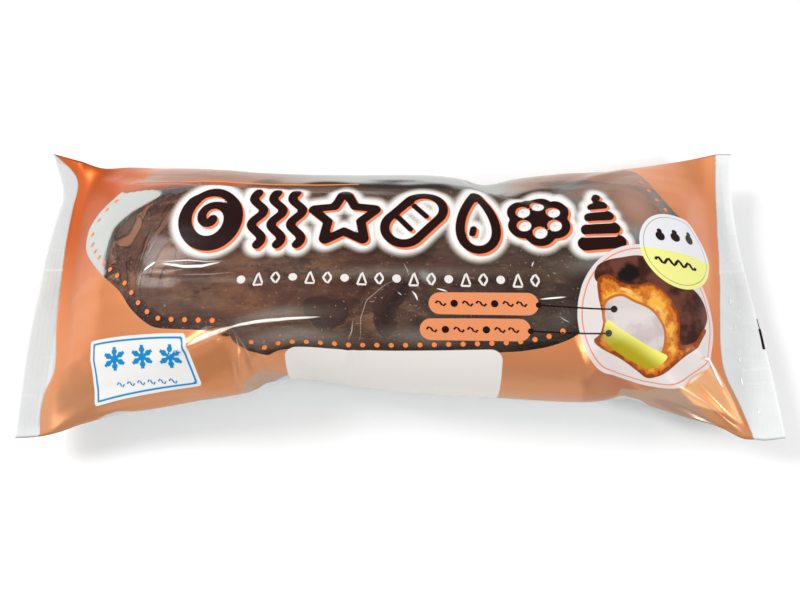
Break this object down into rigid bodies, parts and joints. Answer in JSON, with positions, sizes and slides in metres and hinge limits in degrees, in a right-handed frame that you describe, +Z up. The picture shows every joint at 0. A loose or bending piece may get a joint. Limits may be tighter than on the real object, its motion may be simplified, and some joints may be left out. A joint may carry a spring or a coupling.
{
  "type": "packed chocolate eclair",
  "caption": "Chocolate-topped eclair lying in a sealed flow-wrap pack of clear and copper-orange printed film, with flat end seals and a clear window over the pastry.",
  "frame": {"origin": "under the middle of the pack, on the surface it lies on", "axes": "+X along the pack towards the end with the printed disc, -Y towards the viewer's side of the pack, +Z up through the printed face"},
  "size_m": [0.2256, 0.0936, 0.0422],
  "materials": {
    "printed_film": "glossy copper-orange print on thin clear film, with a clear window and clear end seals"
  },
  "bodies": {
    "root": {"film_pack": "printed_film"}
  },
  "joints": []
}
